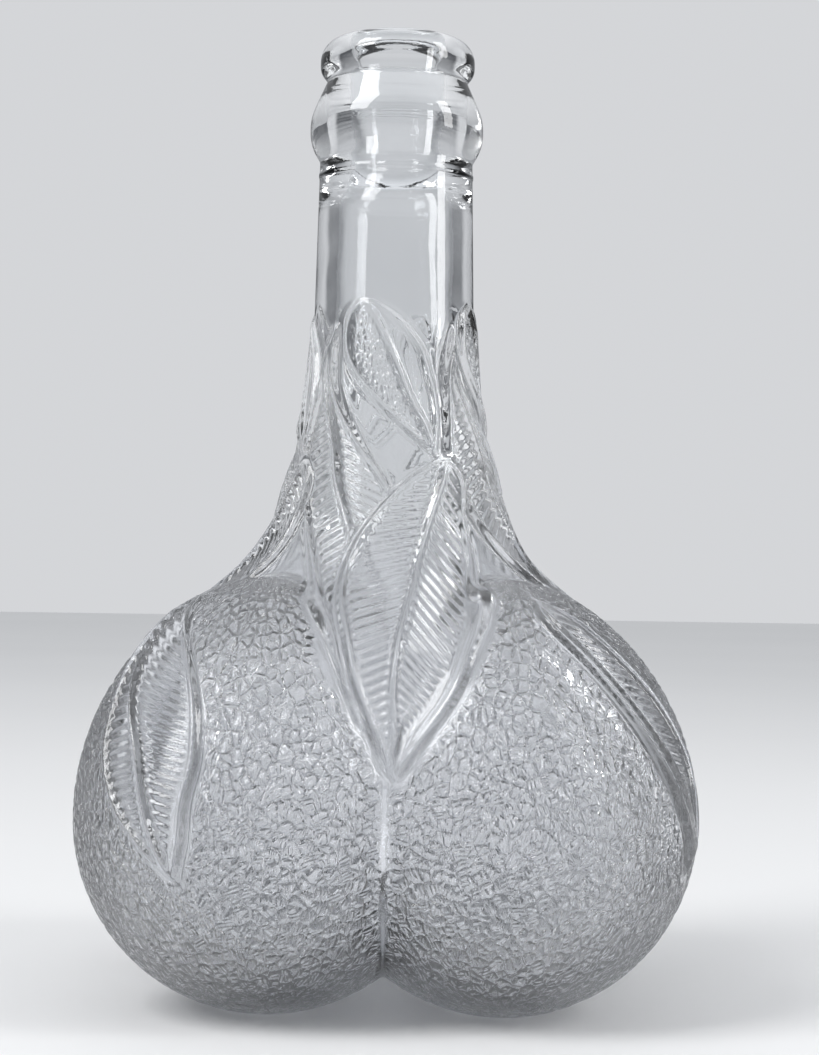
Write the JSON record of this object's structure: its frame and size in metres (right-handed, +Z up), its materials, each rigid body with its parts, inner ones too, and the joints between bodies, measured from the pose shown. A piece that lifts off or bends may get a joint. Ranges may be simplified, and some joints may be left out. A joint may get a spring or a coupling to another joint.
{
  "type": "glass bottle",
  "caption": "Clear glass bottle with a crown finish and a round neck that flares into a cluster of round fruits, with leaves in relief on the neck, the valleys and the fruits.",
  "frame": {"origin": "on the surface the bottle stands on, under the axis of the mouth", "axes": "+Z up along the axis of the mouth and neck, -Y towards the front valley between two fruits, +X to the right seen from the front"},
  "size_m": [0.1016, 0.1016, 0.163],
  "materials": {
    "clear_glass": "clear, fire polished",
    "peel_glass": "clear, with a fine raised peel grain",
    "leaf_glass": "clear, with fine moulded veins"
  },
  "bodies": {
    "root": {"crown_finish": "clear_glass", "neck": "clear_glass", "shoulder": "clear_glass", "fruit_front_left": "peel_glass", "fruit_front_right": "peel_glass", "fruit_back_right": "peel_glass", "fruit_back_left": "peel_glass", "heel_front_left": "peel_glass", "heel_front_right": "peel_glass", "heel_back_right": "peel_glass", "heel_back_left": "peel_glass", "valley_leaf_front": "leaf_glass", "valley_leaf_right": "leaf_glass", "valley_leaf_back": "leaf_glass", "valley_leaf_left": "leaf_glass", "fruit_leaf_front_left": "leaf_glass", "fruit_leaf_front_right": "leaf_glass", "fruit_leaf_back_right": "leaf_glass", "fruit_leaf_back_left": "leaf_glass", "neck_leaf_front": "leaf_glass", "neck_leaf_right": "leaf_glass", "neck_leaf_back": "leaf_glass", "neck_leaf_left": "leaf_glass", "flare_leaf_front": "leaf_glass", "flare_leaf_right": "leaf_glass", "flare_leaf_back": "leaf_glass", "flare_leaf_left": "leaf_glass"}
  },
  "joints": []
}
